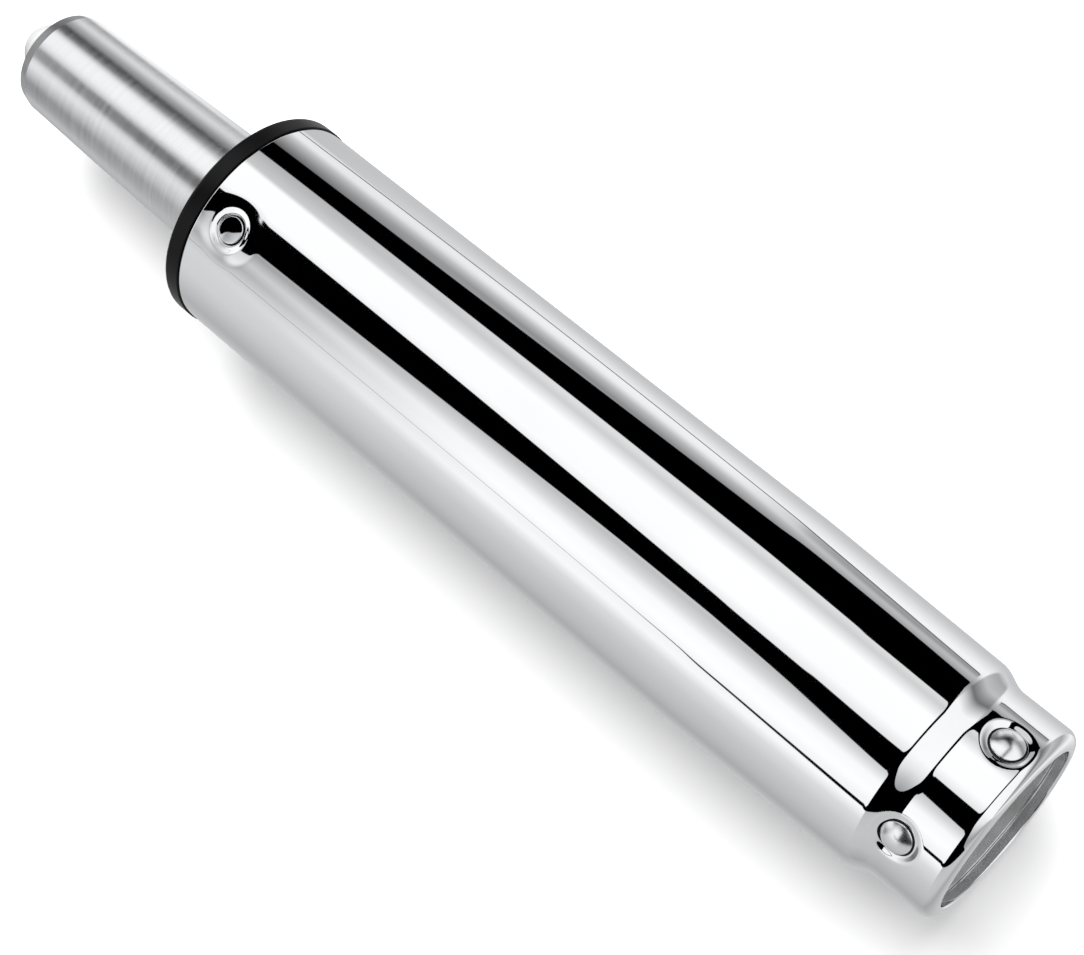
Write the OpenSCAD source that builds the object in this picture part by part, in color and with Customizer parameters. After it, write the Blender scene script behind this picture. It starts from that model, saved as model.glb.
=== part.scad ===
// Gas lift cylinder of a swivel chair, compressed, standing on the rim of its foot.
// Z is the axis of the column. Z = 0 is the underside of the rim. Sizes are in millimetres.

/* [Column] */
// Outer diameter of the column tube
column_d = 50; // [47:0.5:54]
// Wall of the column tube
column_wall = 2; // [1.5:0.1:2.5]
// Height of the column tube, from its rim to its top edge
column_h = 203; // [185:1:240]
// Height at which the lower seat taper ends and the straight shank starts
seat_h = 62; // [45:1:80]
// Half angle of the seat tapers on the column and on the gas spring
taper_angle = 1.432; // [1:0.05:1.8]
// Height at which the shoulder starts, below the seat taper
shoulder_top = 19.5; // [19:0.5:30]
// Height at which the shoulder runs out into the neck
shoulder_bottom = 13; // [12:0.5:18]
// Outer diameter of the neck
neck_d = 44; // [42:0.5:45]
// Outer rounding of the rolled rim
rim_round = 2.6; // [1.5:0.1:3]
// Diameter of the opening in the rim
mouth_d = 36.8; // [35:0.1:37.2]
// Height of the rim's inward lip
rim_lip = 2.4; // [1.6:0.1:3]

/* [Base cup] */
// Wall of the cup's skirt
cup_wall = 1.3; // [1:0.1:1.6]
// Height of the cup plate's underside above the rim
cup_recess = 16; // [15:0.5:20]
// Thickness of the cup plate
cup_plate = 3; // [2:0.1:4]

/* [Rivets] */
// Diameter of a foot rivet's head
foot_head_d = 6.6; // [5:0.1:7]
// How far a foot rivet's dome stands out of its seat
foot_dome = 1.7; // [1:0.1:2.2]
// Height of the upper pair of foot rivets
foot_high = 12; // [11.5:0.1:13]
// Height of the lower pair of foot rivets
foot_low = 7; // [6.5:0.1:8]
// Direction of the upper pair, seen from above and counted from the front
foot_high_angle = -38.5; // [-60:0.5:-20]
// Direction of the lower pair, counted the same way
foot_low_angle = 34; // [20:0.5:60]
// Diameter of a foot rivet's shank
foot_shank_d = 4; // [3:0.1:4.5]
// Diameter of an upper rivet's head
upper_head_d = 5.8; // [4.5:0.1:6.5]
// How far an upper rivet's dome stands out of its seat
upper_dome = 1.2; // [0.8:0.1:1.6]
// Distance of the upper rivets below the top edge of the column tube
upper_drop = 9; // [8:0.5:14]
// Direction of the first upper rivet, counted from the front
upper_angle = -11.5; // [-40:0.5:40]
// Diameter of an upper rivet's shank
upper_shank_d = 3.6; // [3:0.1:4]
// Diameter of the round back of the pressed collar round an upper rivet
collar_d = 7.8; // [7.6:0.1:9]
// Thickness of that collar's round back
collar_round = 1.8; // [1.2:0.1:2]

/* [Guide bush] */
// Height of the bush's lip above the column tube
lip_h = 4.4; // [3:0.1:6]
// How far the lip stands out past the column tube, on the radius
lip_over = 0.3; // [0.1:0.1:0.8]
// Length of the bush inside the column tube
bush_len = 80; // [70:1:95]
// Wall of the bush's barrel and of its two outer rings
bush_wall = 2.4; // [1.8:0.1:3]
// Length of the upper outer ring
bush_top_ring = 22; // [20:1:30]
// Length of the lower outer ring
bush_low_ring = 10; // [8:1:16]
// Number of ribs between the barrel and the rings
bush_ribs = 8; // [4:2:12]
// Length of each of the two lands that guide the gas spring
bush_land = 20; // [14:1:28]

/* [Thrust bearing] */
// Thickness of each race
race_h = 1.6; // [1.4:0.1:2.2]
// Outer diameter of the races
race_d = 23; // [22:0.5:26]
// Diameter of a ball
ball_d = 3; // [2.5:0.1:3.2]
// Number of balls
balls = 12; // [8:1:13]
// Diameter of the circle on which the balls run
ball_circle_d = 17; // [16.5:0.1:17.5]
// Depth of the ball groove in each race
groove_depth = 0.4; // [0.3:0.05:0.5]
// Thickness of the ball cage
cage_h = 1.2; // [0.8:0.1:1.4]

/* [Bumper and clip] */
// Thickness of the washers on the rod
washer_h = 1.5; // [1:0.1:2]
// Height of the rubber bumper
bumper_h = 12; // [8:0.5:16]
// Outer diameter of the rubber bumper
bumper_d = 24; // [20:0.5:27]
// Thickness of the retaining clip
clip_h = 1.1; // [0.8:0.1:1.4]
// Outer diameter of the retaining clip
clip_d = 15; // [13:0.5:17]
// Length of the rod below the retaining clip
rod_tail = 2.4; // [1.5:0.1:3]

/* [Gas spring] */
// Outer diameter of the pressure tube
tube_d = 28; // [27:0.1:29]
// Wall of the pressure tube
tube_wall = 1.5; // [1.2:0.1:1.8]
// Height of the tube's tip above the top edge of the column tube
tip_proud = 70; // [60:1:80]
// Length of the upper seat taper
cone_len = 60; // [50:1:64]
// Width of the steep chamfer round the tip
tip_chamfer = 0.6; // [0.3:0.1:1.2]
// Height of the chamfer round the tip
tip_chamfer_h = 2.5; // [1:0.1:4]
// Travel of the gas spring
stroke = 100; // [80:1:105]
// Diameter of the piston rod
rod_d = 10; // [9:0.1:11]
// Diameter of the rod's turned lower end
spigot_d = 8; // [7:0.1:8.2]
// Outer diameter of the inner tube
inner_d = 22; // [21:0.1:22.4]
// Wall of the inner tube
inner_wall = 1; // [0.8:0.1:1.2]
// Height of the rod seal
seal_h = 5; // [4:0.5:7]
// Length of the rod guide, with its neck in the inner tube
guide_h = 22; // [18:1:26]
// Length of the piston
piston_h = 14; // [11:0.5:18]

/* [Valve] */
// Length of the valve body
valve_h = 50; // [46:1:54]
// Diameter of the release pin
pin_d = 5; // [4:0.1:5.4]
// Diameter of the release button
button_d = 12; // [10:0.1:13]
// Height of the button above the tip
button_proud = 9.8; // [7:0.1:11]
// Travel of the button
press = 3; // [2:0.1:3.5]

/* [Hidden] */

$fn = 96;

// Clearances, all on the radius or along the axis
press_play = 0.05;
run_play = 0.08;
rest_gap = 0.3;
eps = 0.01;

// Steps of a curved profile, and the least distance that ends a cut outside the metal
arc_steps = 10;
shoulder_steps = 16;
over = 1;

column_r = column_d / 2;
neck_r = neck_d / 2;
neck_in_r = neck_r - column_wall;
mouth_r = mouth_d / 2;
taper = tan(taper_angle);
mouth_round = 0.4;
edge_round = 0.5;

// Radii of the column tube along its height
seat_r = column_r - (seat_h - shoulder_top) * taper;
shoulder_h = shoulder_top - shoulder_bottom;
bore_r = column_r - column_wall;

// Rivets: each head sits on a flat seat in a dish that is pressed into the wall
head_play = 0.35;
dish_r = 13;
dish_depth = 0.8;
seat_depth = 1.1;
tail_h = 0.8;
tail_over = 0.8;
upper_z = column_h - upper_drop;
upper_count = 2;
collar_sink = 0.35;

// Base cup
skirt_r = neck_in_r - press_play;
cup_top = cup_recess + cup_plate;
cup_round = 2.5;
skirt_in_r = skirt_r - cup_wall;

// Guide bush
bush_bottom = column_h - bush_len;
bush_r = bore_r - press_play;
lip_r = column_r + lip_over;
lip_round = 1.3;
guide_r = tube_d / 2 + run_play;
relief = 0.5;
lead_w = 3;
lead_h = 1;
barrel_r = guide_r + bush_wall;
rib_w = 2;
rib_out_r = bush_r - press_play;
floor_h = 3;

// Thrust bearing
race_r = race_d / 2;
ball_r = ball_d / 2;
ball_play = 0.05;
pocket_play = 0.12;
ball_circle_r = ball_circle_d / 2;
race_gap = ball_d - 2 * groove_depth;
lower_race_top = cup_top + race_h;
ball_z = lower_race_top + race_gap / 2;
upper_race_z = lower_race_top + race_gap;
rod_shoulder = upper_race_z + race_h;
spigot_r = spigot_d / 2;
race_bore_play = 0.5;
cage_rim = 1.4;
cage_in_r = ball_circle_r - ball_r - cage_rim;
cage_r = ball_circle_r + ball_r + cage_rim;

// Bumper, washers and clip
rod_r = rod_d / 2;
bumper_z = rod_shoulder + washer_h;
bumper_top = bumper_z + bumper_h;
bumper_r = bumper_d / 2;
bumper_waist = 2;
washer_r = race_r;
foot_washer_z = cup_recess - rest_gap - washer_h;
foot_washer_r = 9;
clip_z = foot_washer_z - press_play - clip_h;
clip_groove_depth = 0.8;
clip_groove_r = spigot_r - clip_groove_depth;
clip_band = 2.2;
clip_lug_w = 3;
rod_bottom = clip_z - rod_tail;
rod_chamfer = 0.6;

// Pressure tube
tube_r = tube_d / 2;
tube_in_r = tube_r - tube_wall;
tube_bottom = bumper_top + rest_gap;
tip_z = column_h + tip_proud;
cone_z = tip_z - cone_len;
tip_r = tube_r - cone_len * taper;
tip_lip = 2;
crimp_r = 9.6;
crimp_round = 1;

// Gas chamber, from the crimped end upwards
washer_z = tube_bottom + tube_wall;
seal_z = washer_z + washer_h;
guide_z = seal_z + seal_h;
guide_neck = 8;
inner_z = guide_z + guide_h - guide_neck;
inner_r = inner_d / 2;
chamber_r = inner_r - inner_wall;
port_r = 1;
ports = 4;
piston_z = guide_z + guide_h + stroke + rest_gap;
piston_top = piston_z + piston_h;
stud_r = 3;
stud_tail = 1;
nut_h = 5;
nut_r = 5.6;
ring_w = 2.4;
ring_deep = 1.4;

// Valve, from the chamber upwards
valve_top = tip_z - tip_lip - press_play;
valve_z = valve_top - valve_h;
valve_neck = 8;
valve_waist = 8;
port_z = valve_z + valve_neck + valve_waist / 2;
inner_top = valve_z + valve_neck;
pin_r = pin_d / 2;
pin_waist = 0.9;
pin_neck_r = pin_r - pin_waist;
pin_chamfer = 1;
pin_head_r = 5;
pin_head_h = 3;
seat_in_r = pin_r + pin_waist;
seat_out_r = 6.4;
seat_ring_h = 1.5;
oring_r = 0.9;
pin_oring_r = 0.8;
groove_spare = 0.4;
valve_oring_edge = 4;
valve_oring_pitch = 6;
pin_oring_edge = 3;
pin_oring_pitch = 5;
pin_neck_top = port_z + port_r + press + rest_gap;
button_r = button_d / 2;
button_play = 0.3;
button_sunk = 9;
button_z = tip_z - button_sunk;
button_top = tip_z + button_proud;
well_spare = 1;
well_z = button_z - press - well_spare;
dome_h = 4.3;
dome_r = (button_r * button_r + dome_h * dome_h) / (2 * dome_h);
pin_socket = 6;
pin_top = button_z + pin_socket;
plug_z = inner_top + valve_waist;
valve_oring_z = plug_z + valve_oring_edge;
valve_orings_z = [valve_oring_z, valve_oring_z + valve_oring_pitch];
pin_oring_z = pin_neck_top + pin_oring_edge;
pin_orings_z = [pin_oring_z, pin_oring_z + pin_oring_pitch];

// Blend from 0 to 1 that leaves and arrives level
function ease(t) = (1 - cos(180 * t)) / 2;

// Outer radius of the column tube at a height above the rim's rounding
function column_radius(z) =
    z <= shoulder_bottom ? neck_r :
    z < shoulder_top ? neck_r + (seat_r - neck_r) * ease((z - shoulder_bottom) / shoulder_h) :
    z < seat_h ? column_r - (seat_h - z) * taper : column_r;

// Outer radius of the pressure tube at a height
function tube_radius(z) = z < cone_z ? tube_r : tube_r - (z - cone_z) * taper;

// Inner radius of the pressure tube at a height
function tube_bore(z) = tube_radius(z) - tube_wall;

// Points of an arc round [r, z], from one angle to another
function arc(r, z, radius, from, to) =
    [for (i = [0:arc_steps]) [
        r + radius * cos(from + (to - from) * i / arc_steps),
        z + radius * sin(from + (to - from) * i / arc_steps)]];

// Heights at which the shoulder's profile has a point
shoulder_z = [for (i = [0:shoulder_steps])
    shoulder_bottom + shoulder_h * i / shoulder_steps];

// Turns a child that lies along +Z so that it points outwards at a height.
// The turn is counted from the front, which is -Y, towards +X.
module outwards(turn, z, distance = 0) {
    rotate([0, 0, turn - 90])
        translate([distance, 0, z])
            rotate([0, 90, 0])
                children();
}

// Plain tube between two heights
module ring(outer, inner, low, high) {
    translate([0, 0, low])
        difference() {
            cylinder(r = outer, h = high - low);
            translate([0, 0, -over])
                cylinder(r = inner, h = high - low + 2 * over);
        }
}

// Round ring of round section
module oring(radius, section, z) {
    translate([0, 0, z])
        rotate_extrude()
            translate([radius, 0])
                circle(r = section, $fn = 32);
}

// Places its children at each of the four foot rivets, pointing outwards
module at_foot_rivets() {
    for (side = [0, 180]) {
        outwards(foot_high_angle + side, foot_high) children();
        outwards(foot_low_angle + side, foot_low) children();
    }
}

// Places its children at each upper rivet, pointing outwards
module at_upper_rivets() {
    for (i = [0:upper_count - 1])
        outwards(upper_angle + i * 360 / upper_count, upper_z) children();
}

// Shallow round dish with a flat seat in its middle, cut into a wall of a given radius
module rivet_seat(wall_r, head_r, dish) {
    if (dish)
        translate([0, 0, wall_r - dish_depth + dish_r])
            sphere(r = dish_r, $fn = 160);
    translate([0, 0, wall_r - seat_depth])
        cylinder(r = head_r + head_play, h = seat_depth + 2 * over);
}

// Rivet with a domed head. Base is the distance of the head's flat side from the column's axis, and
// bore_r the radius of the wall that the tail closes on, so the tail's flat side clears its curve.
module rivet(head_r, dome, shank_r, base, bore_r) {
    cap_r = (head_r * head_r + dome * dome) / (2 * dome);
    tail_r = shank_r + tail_over;
    tail = sqrt(bore_r * bore_r - tail_r * tail_r) - press_play;
    intersection() {
        translate([0, 0, base + dome - cap_r])
            sphere(r = cap_r, $fn = 96);
        translate([0, 0, base])
            cylinder(r = head_r + over, h = dome + over);
    }
    translate([0, 0, tail])
        cylinder(r = shank_r, h = base - tail + eps);
    translate([0, 0, tail - tail_h])
        cylinder(r = tail_r, h = tail_h);
}

module column_tube() {
    outer = concat(
        arc(neck_r - rim_round, rim_round, rim_round, -90, 0),
        [for (z = shoulder_z) [column_radius(z), z]],
        [[column_r, seat_h]],
        arc(column_r - edge_round, column_h - edge_round, edge_round, 0, 90));
    inner = concat(
        [[bore_r, column_h], [bore_r, seat_h]],
        [for (i = [shoulder_steps:-1:0]) [column_radius(shoulder_z[i]) - column_wall, shoulder_z[i]]],
        [[neck_in_r, rim_lip], [mouth_r, rim_lip]],
        arc(mouth_r + mouth_round, mouth_round, mouth_round, 180, 270));
    color("gainsboro")
        difference() {
            union() {
                rotate_extrude($fn = 128)
                    polygon(concat(outer, inner));
                at_upper_rivets()
                    oring(collar_d / 2, collar_round / 2, column_r - collar_sink);
            }
            at_foot_rivets() {
                rivet_seat(neck_r, foot_head_d / 2, true);
                cylinder(r = foot_shank_d / 2 + press_play, h = column_r);
            }
            at_upper_rivets() {
                rivet_seat(column_r, upper_head_d / 2, false);
                cylinder(r = upper_shank_d / 2 + press_play, h = column_r);
            }
        }
}

// Pressed cup that closes the foot: its skirt lines the neck and its plate carries the bearing
module base_cup() {
    color("silver")
        difference() {
            rotate_extrude()
                polygon(concat(
                    [[spigot_r + run_play, cup_recess]],
                    arc(skirt_in_r - cup_round / 2, cup_recess - cup_round / 2, cup_round / 2, 90, 0),
                    [[skirt_in_r, rim_lip + press_play], [skirt_r, rim_lip + press_play]],
                    arc(skirt_r - cup_round, cup_top - cup_round, cup_round, 0, 90),
                    [[spigot_r + run_play, cup_top]]));
            at_foot_rivets()
                cylinder(r = foot_shank_d / 2 + press_play, h = column_r);
        }
}

module foot_rivets() {
    color("whitesmoke")
        at_foot_rivets()
            rivet(foot_head_d / 2, foot_dome, foot_shank_d / 2,
                neck_r - seat_depth, skirt_in_r);
}

module upper_rivets() {
    color("whitesmoke")
        at_upper_rivets()
            rivet(upper_head_d / 2, upper_dome, upper_shank_d / 2,
                column_r - seat_depth, bush_r - bush_wall);
}

// Moulded bush: a barrel with two guide lands, ribs out to two rings, and the lip that shows
module guide_bush() {
    bush_top = column_h + lip_h;
    color("dimgray")
        difference() {
            union() {
                ring(barrel_r, guide_r, bush_bottom, column_h + eps);
                ring(bush_r, bush_r - bush_wall, column_h - bush_top_ring, column_h + eps);
                ring(bush_r, bush_r - bush_wall, bush_bottom, bush_bottom + bush_low_ring);
                ring(bush_r, guide_r, bush_bottom, bush_bottom + floor_h);
                rotate_extrude($fn = 128)
                    polygon(concat(
                        [[guide_r, column_h], [lip_r - lip_over / 2, column_h],
                            [lip_r, column_h + lip_over / 2]],
                        arc(lip_r - lip_round, bush_top - lip_round, lip_round, 0, 90),
                        [[guide_r + lead_w, bush_top], [guide_r, bush_top - lead_h]]));
                for (i = [0:bush_ribs - 1])
                    rotate([0, 0, upper_angle - 90 + (i + 0.5) * 360 / bush_ribs])
                        translate([guide_r + bush_wall / 2, -rib_w / 2, bush_bottom])
                            cube([rib_out_r - guide_r - bush_wall / 2, rib_w, bush_len]);
            }
            // Relief between the two lands
            translate([0, 0, bush_bottom + bush_land])
                cylinder(r = guide_r + relief, h = bush_len - 2 * bush_land);
            at_upper_rivets()
                translate([0, 0, bush_r - bush_wall - over])
                    cylinder(r = upper_shank_d / 2 + press_play, h = bush_wall + 2 * over);
        }
}

// The round track in which the balls run
module ball_track() {
    oring(ball_circle_r, ball_r + ball_play, ball_z);
}

module lower_race() {
    color("lightsteelblue")
        difference() {
            ring(race_r, spigot_r + race_bore_play, cup_top, lower_race_top);
            ball_track();
        }
}

module upper_race() {
    color("lightsteelblue")
        difference() {
            ring(race_r, spigot_r + press_play, upper_race_z, rod_shoulder);
            ball_track();
        }
}

module ball_cage() {
    color("goldenrod")
        difference() {
            ring(cage_r, cage_in_r, ball_z - cage_h / 2, ball_z + cage_h / 2);
            for (i = [0:balls - 1])
                rotate([0, 0, i * 360 / balls])
                    translate([ball_circle_r, 0, ball_z - cage_h])
                        cylinder(r = ball_r + pocket_play, h = 2 * cage_h);
        }
}

module bearing_balls() {
    color("silver")
        for (i = [0:balls - 1])
            rotate([0, 0, i * 360 / balls])
                translate([ball_circle_r, 0, ball_z])
                    sphere(r = ball_r, $fn = 48);
}

module bumper_washer() {
    color("silver")
        ring(washer_r, rod_r + press_play, rod_shoulder, bumper_z);
}

// Rubber buffer with a drawn-in waist
module rubber_bumper() {
    mid = (bumper_z + bumper_top) / 2;
    waist_r = (bumper_h * bumper_h / 16 + bumper_waist * bumper_waist) / (2 * bumper_waist);
    color("darkslategray")
        difference() {
            ring(bumper_r, rod_r + press_play, bumper_z, bumper_top);
            oring(bumper_r - bumper_waist + waist_r, waist_r, mid);
        }
}

module foot_washer() {
    color("silver")
        ring(foot_washer_r, spigot_r + press_play, foot_washer_z, foot_washer_z + washer_h);
}

// Open clip with three lugs that reach into the rod's groove
module retaining_clip() {
    clip_r = clip_d / 2;
    color("slategray")
        translate([0, 0, clip_z])
            linear_extrude(height = clip_h)
                difference() {
                    union() {
                        difference() {
                            circle(r = clip_r);
                            circle(r = clip_r - clip_band);
                        }
                        for (turn = [90, 210, 330])
                            rotate(turn)
                                translate([0, -clip_lug_w / 2])
                                    square([clip_r - clip_band / 2, clip_lug_w]);
                    }
                    circle(r = clip_groove_r + press_play);
                    rotate(-90)
                        translate([0, -clip_groove_r])
                            square([clip_r + over, 2 * clip_groove_r]);
                }
}

// Ground rod: turned lower end with the clip groove, straight rod, stud for the piston
module piston_rod() {
    stud_top = piston_top + nut_h + stud_tail;
    color("lightgray")
        rotate_extrude()
            polygon([
                [0, rod_bottom], [spigot_r - rod_chamfer, rod_bottom], [spigot_r, rod_bottom + rod_chamfer],
                [spigot_r, clip_z - press_play], [clip_groove_r, clip_z - press_play],
                [clip_groove_r, clip_z + clip_h + press_play], [spigot_r, clip_z + clip_h + press_play],
                [spigot_r, rod_shoulder], [rod_r, rod_shoulder], [rod_r, piston_z],
                [stud_r, piston_z], [stud_r, stud_top - rod_chamfer],
                [stud_r - rod_chamfer, stud_top], [0, stud_top]]);
}

module piston() {
    skirt_round = 0.6;
    piston_r = chamber_r - press_play;
    ring_mid = (piston_z + piston_top) / 2;
    color("darkgray")
        difference() {
            rotate_extrude()
                polygon(concat(
                    [[stud_r + press_play, piston_z]],
                    arc(piston_r - skirt_round, piston_z + skirt_round, skirt_round, -90, 0),
                    arc(piston_r - skirt_round, piston_top - skirt_round, skirt_round, 0, 90),
                    [[stud_r + press_play, piston_top]]));
            ring(chamber_r + over, piston_r - ring_deep, ring_mid - ring_w / 2, ring_mid + ring_w / 2);
        }
}

// Square-section ring that seals the piston in the inner tube
module piston_ring() {
    ring_mid = (piston_z + piston_top) / 2;
    groove_r = chamber_r - press_play - ring_deep;
    color("dimgray")
        ring(chamber_r - press_play / 2, groove_r + press_play,
            ring_mid - ring_w / 2 + press_play, ring_mid + ring_w / 2 - press_play);
}

module piston_nut() {
    color("silver")
        translate([0, 0, piston_top])
            difference() {
                cylinder(r = nut_r, h = nut_h, $fn = 6);
                translate([0, 0, -over])
                    cylinder(r = stud_r + press_play, h = nut_h + 2 * over);
            }
}

// Pressure tube: crimped in at the bottom, tapered and turned in at the top
module pressure_tube() {
    button_hole_r = button_r + button_play;
    color("gainsboro")
        rotate_extrude($fn = 128)
            polygon(concat(
                [[crimp_r, tube_bottom]],
                arc(tube_r - crimp_round, tube_bottom + crimp_round, crimp_round, -90, 0),
                [[tube_r, cone_z], [tip_r + tip_chamfer_h * taper, tip_z - tip_chamfer_h],
                    [tip_r - tip_chamfer, tip_z], [button_hole_r, tip_z],
                    [button_hole_r, tip_z - tip_lip], [tube_bore(tip_z - tip_lip), tip_z - tip_lip],
                    [tube_in_r, cone_z], [tube_in_r, tube_bottom + tube_wall],
                    [crimp_r, tube_bottom + tube_wall]]));
}

module seal_washer() {
    color("silver")
        ring(tube_in_r - press_play, rod_r + rest_gap, washer_z, seal_z);
}

// Rubber seal with a dished upper side, so that the pressure closes its lip on the rod
module rod_seal() {
    dish_w = 2.2;
    seal_in_r = rod_r + run_play;
    seal_out_r = tube_in_r - press_play;
    seal_mid_r = (seal_in_r + seal_out_r) / 2;
    color("black")
        rotate_extrude()
            polygon([
                [seal_in_r, seal_z], [seal_out_r, seal_z],
                [seal_out_r, guide_z - press_play], [seal_mid_r + dish_w, guide_z - press_play],
                [seal_mid_r, seal_z + seal_h / 2],
                [seal_mid_r - dish_w, guide_z - press_play], [seal_in_r, guide_z - press_play]]);
}

// Guide that closes the gas chamber at its lower end: two lands on the rod, relieved between
module rod_guide() {
    land_h = guide_h / 4;
    color("tan")
        difference() {
            union() {
                ring(tube_in_r - press_play, rod_r + run_play, guide_z, inner_z);
                ring(chamber_r - press_play, rod_r + run_play, guide_z, guide_z + guide_h);
            }
            translate([0, 0, guide_z + land_h])
                cylinder(r = rod_r + relief, h = guide_h - 2 * land_h);
        }
}

// Inner tube: the gas chamber, with ports to the outer gas space above the rod guide
module inner_tube() {
    color("lightblue")
        difference() {
            ring(inner_r, chamber_r, inner_z, inner_top);
            for (i = [0:ports - 1])
                translate([0, 0, guide_z + guide_h + 2 * port_r])
                    rotate([0, 90, i * 360 / ports])
                        cylinder(r = port_r, h = inner_r + over);
        }
}

// Valve body: neck in the inner tube, waist with gas ports, tapered plug, well for the button
module valve_body() {
    neck_body_r = chamber_r - press_play;
    neck_groove_r = neck_body_r - 2 * oring_r;
    groove_w = 2 * oring_r + groove_spare;
    color("burlywood")
        difference() {
            rotate_extrude()
                polygon([
                    [pin_r + run_play, valve_z], [neck_body_r, valve_z], [neck_body_r, inner_top],
                    [inner_r - press_play, inner_top], [inner_r - press_play, plug_z],
                    [tube_bore(plug_z) - press_play, plug_z], [tube_bore(valve_top) - press_play, valve_top],
                    [pin_r + run_play, valve_top]]);
            ring(inner_r + over, neck_groove_r,
                valve_z + valve_neck / 2 - groove_w / 2, valve_z + valve_neck / 2 + groove_w / 2);
            for (z = valve_orings_z)
                ring(tube_r, tube_bore(z) - press_play - 2 * oring_r, z - groove_w / 2, z + groove_w / 2);
            for (z = pin_orings_z)
                translate([0, 0, z - groove_w / 2])
                    cylinder(r = pin_r + run_play + 2 * pin_oring_r, h = groove_w);
            for (i = [0:ports - 1])
                translate([0, 0, port_z])
                    rotate([0, 90, i * 360 / ports])
                        cylinder(r = port_r, h = inner_r + over);
            translate([0, 0, valve_z - over])
                cylinder(r = seat_out_r + press_play, h = seat_ring_h + over);
            translate([0, 0, well_z])
                cylinder(r = button_r + button_play, h = valve_top - well_z + over);
        }
}

module valve_orings() {
    color("black") {
        oring(chamber_r - press_play / 2 - oring_r, oring_r - press_play / 2, valve_z + valve_neck / 2);
        for (z = valve_orings_z)
            oring(tube_bore(z) - press_play - oring_r, oring_r - press_play, z);
    }
}

// Rubber ring on which the head of the release pin closes
module valve_seat() {
    color("black")
        ring(seat_out_r, seat_in_r, valve_z, valve_z + seat_ring_h - press_play);
}

module pin_orings() {
    color("black")
        for (z = pin_orings_z)
            oring(pin_r + run_play + pin_oring_r, pin_oring_r - press_play / 2, z);
}

// Release pin: valve head below the seat, thin neck past the ports, full size through the O-rings
module release_pin() {
    head_top = valve_z - rest_gap / 2;
    color("silver")
        rotate_extrude()
            polygon([
                [0, head_top - pin_head_h], [pin_head_r - pin_chamfer, head_top - pin_head_h],
                [pin_head_r, head_top - pin_head_h + pin_chamfer], [pin_head_r, head_top],
                [pin_neck_r, head_top], [pin_neck_r, pin_neck_top - pin_chamfer], [pin_r, pin_neck_top],
                [pin_r, pin_top], [0, pin_top]]);
}

// Moulded button on the pin: straight sides and a domed end
module release_button() {
    color("white")
        difference() {
            union() {
                translate([0, 0, button_z])
                    cylinder(r = button_r, h = button_top - dome_h - button_z);
                intersection() {
                    translate([0, 0, button_top - dome_r])
                        sphere(r = dome_r);
                    translate([0, 0, button_top - dome_h - eps])
                        cylinder(r = button_r, h = dome_h + over);
                }
            }
            translate([0, 0, button_z - over])
                cylinder(r = pin_r + press_play, h = pin_top - button_z + over + press_play);
        }
}

column_tube();
base_cup();
foot_rivets();
upper_rivets();
guide_bush();
lower_race();
ball_cage();
bearing_balls();
upper_race();
bumper_washer();
rubber_bumper();
foot_washer();
retaining_clip();
piston_rod();
piston();
piston_ring();
piston_nut();
pressure_tube();
seal_washer();
rod_seal();
rod_guide();
inner_tube();
valve_body();
valve_orings();
valve_seat();
pin_orings();
release_pin();
release_button();
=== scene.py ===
# Looks of a chair's gas lift cylinder: a chromed column on its necked foot, a satin gas spring
# standing in it, a black guide ring between them and a white release button at the tip.
# Z is the axis of the column, and the front is -Y. Shapes are worked out in millimetres.
import bpy
import numpy as np
from mathutils import Matrix, Vector


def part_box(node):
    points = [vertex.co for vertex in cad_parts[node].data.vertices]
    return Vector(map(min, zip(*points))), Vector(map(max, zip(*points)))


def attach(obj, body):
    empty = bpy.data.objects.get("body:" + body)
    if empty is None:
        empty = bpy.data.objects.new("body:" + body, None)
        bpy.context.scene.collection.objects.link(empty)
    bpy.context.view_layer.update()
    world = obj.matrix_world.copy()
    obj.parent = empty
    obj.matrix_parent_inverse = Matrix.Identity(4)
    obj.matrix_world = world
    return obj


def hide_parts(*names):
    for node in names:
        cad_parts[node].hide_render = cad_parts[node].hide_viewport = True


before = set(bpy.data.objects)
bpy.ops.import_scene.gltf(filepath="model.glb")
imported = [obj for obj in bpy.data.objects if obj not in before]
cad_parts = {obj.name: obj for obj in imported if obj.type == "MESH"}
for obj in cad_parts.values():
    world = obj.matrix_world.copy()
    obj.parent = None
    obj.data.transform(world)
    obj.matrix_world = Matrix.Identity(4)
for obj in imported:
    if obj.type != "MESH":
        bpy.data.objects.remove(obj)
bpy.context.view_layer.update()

MM = 0.001
MATH = "ShaderNodeMath"


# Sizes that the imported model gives
def reach(node):
    """Radius and the lowest and highest level of a turned CAD node, in millimetres."""
    low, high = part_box(node)
    return high.x / MM, low.z / MM, high.z / MM


COLUMN_R, _, COLUMN_TOP = reach("column_tube")
LIP_R, BUSH_LOW, LIP_TOP = reach("guide_bush")
TUBE_R, TUBE_LOW, TIP = reach("pressure_tube")
BUTTON_R, BUTTON_LOW, BUTTON_TOP = reach("release_button")
CUP_R, CUP_LOW, CUP_TOP = reach("base_cup")
WASHER_R, WASHER_LOW, WASHER_TOP = reach("foot_washer")

# Column tube, and the degrees of both seat tapers
WALL = 2.0
NECK_R = 22.0
SHOULDER_LOW, SHOULDER_TOP = 13.0, 19.5
SEAT_TOP = 62.0
SEAT_ANGLE = 1.432
TAPER = np.tan(np.radians(SEAT_ANGLE))
SEAT_BLEND = 2.0
RIM_ROUND = 2.6
MOUTH_R = 18.4
MOUTH_ROUND = 0.4
RIM_LIP = 2.4
TOP_ROUND, BORE_ROUND = 0.5, 0.3
SKIN_COLUMNS = 360

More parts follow.
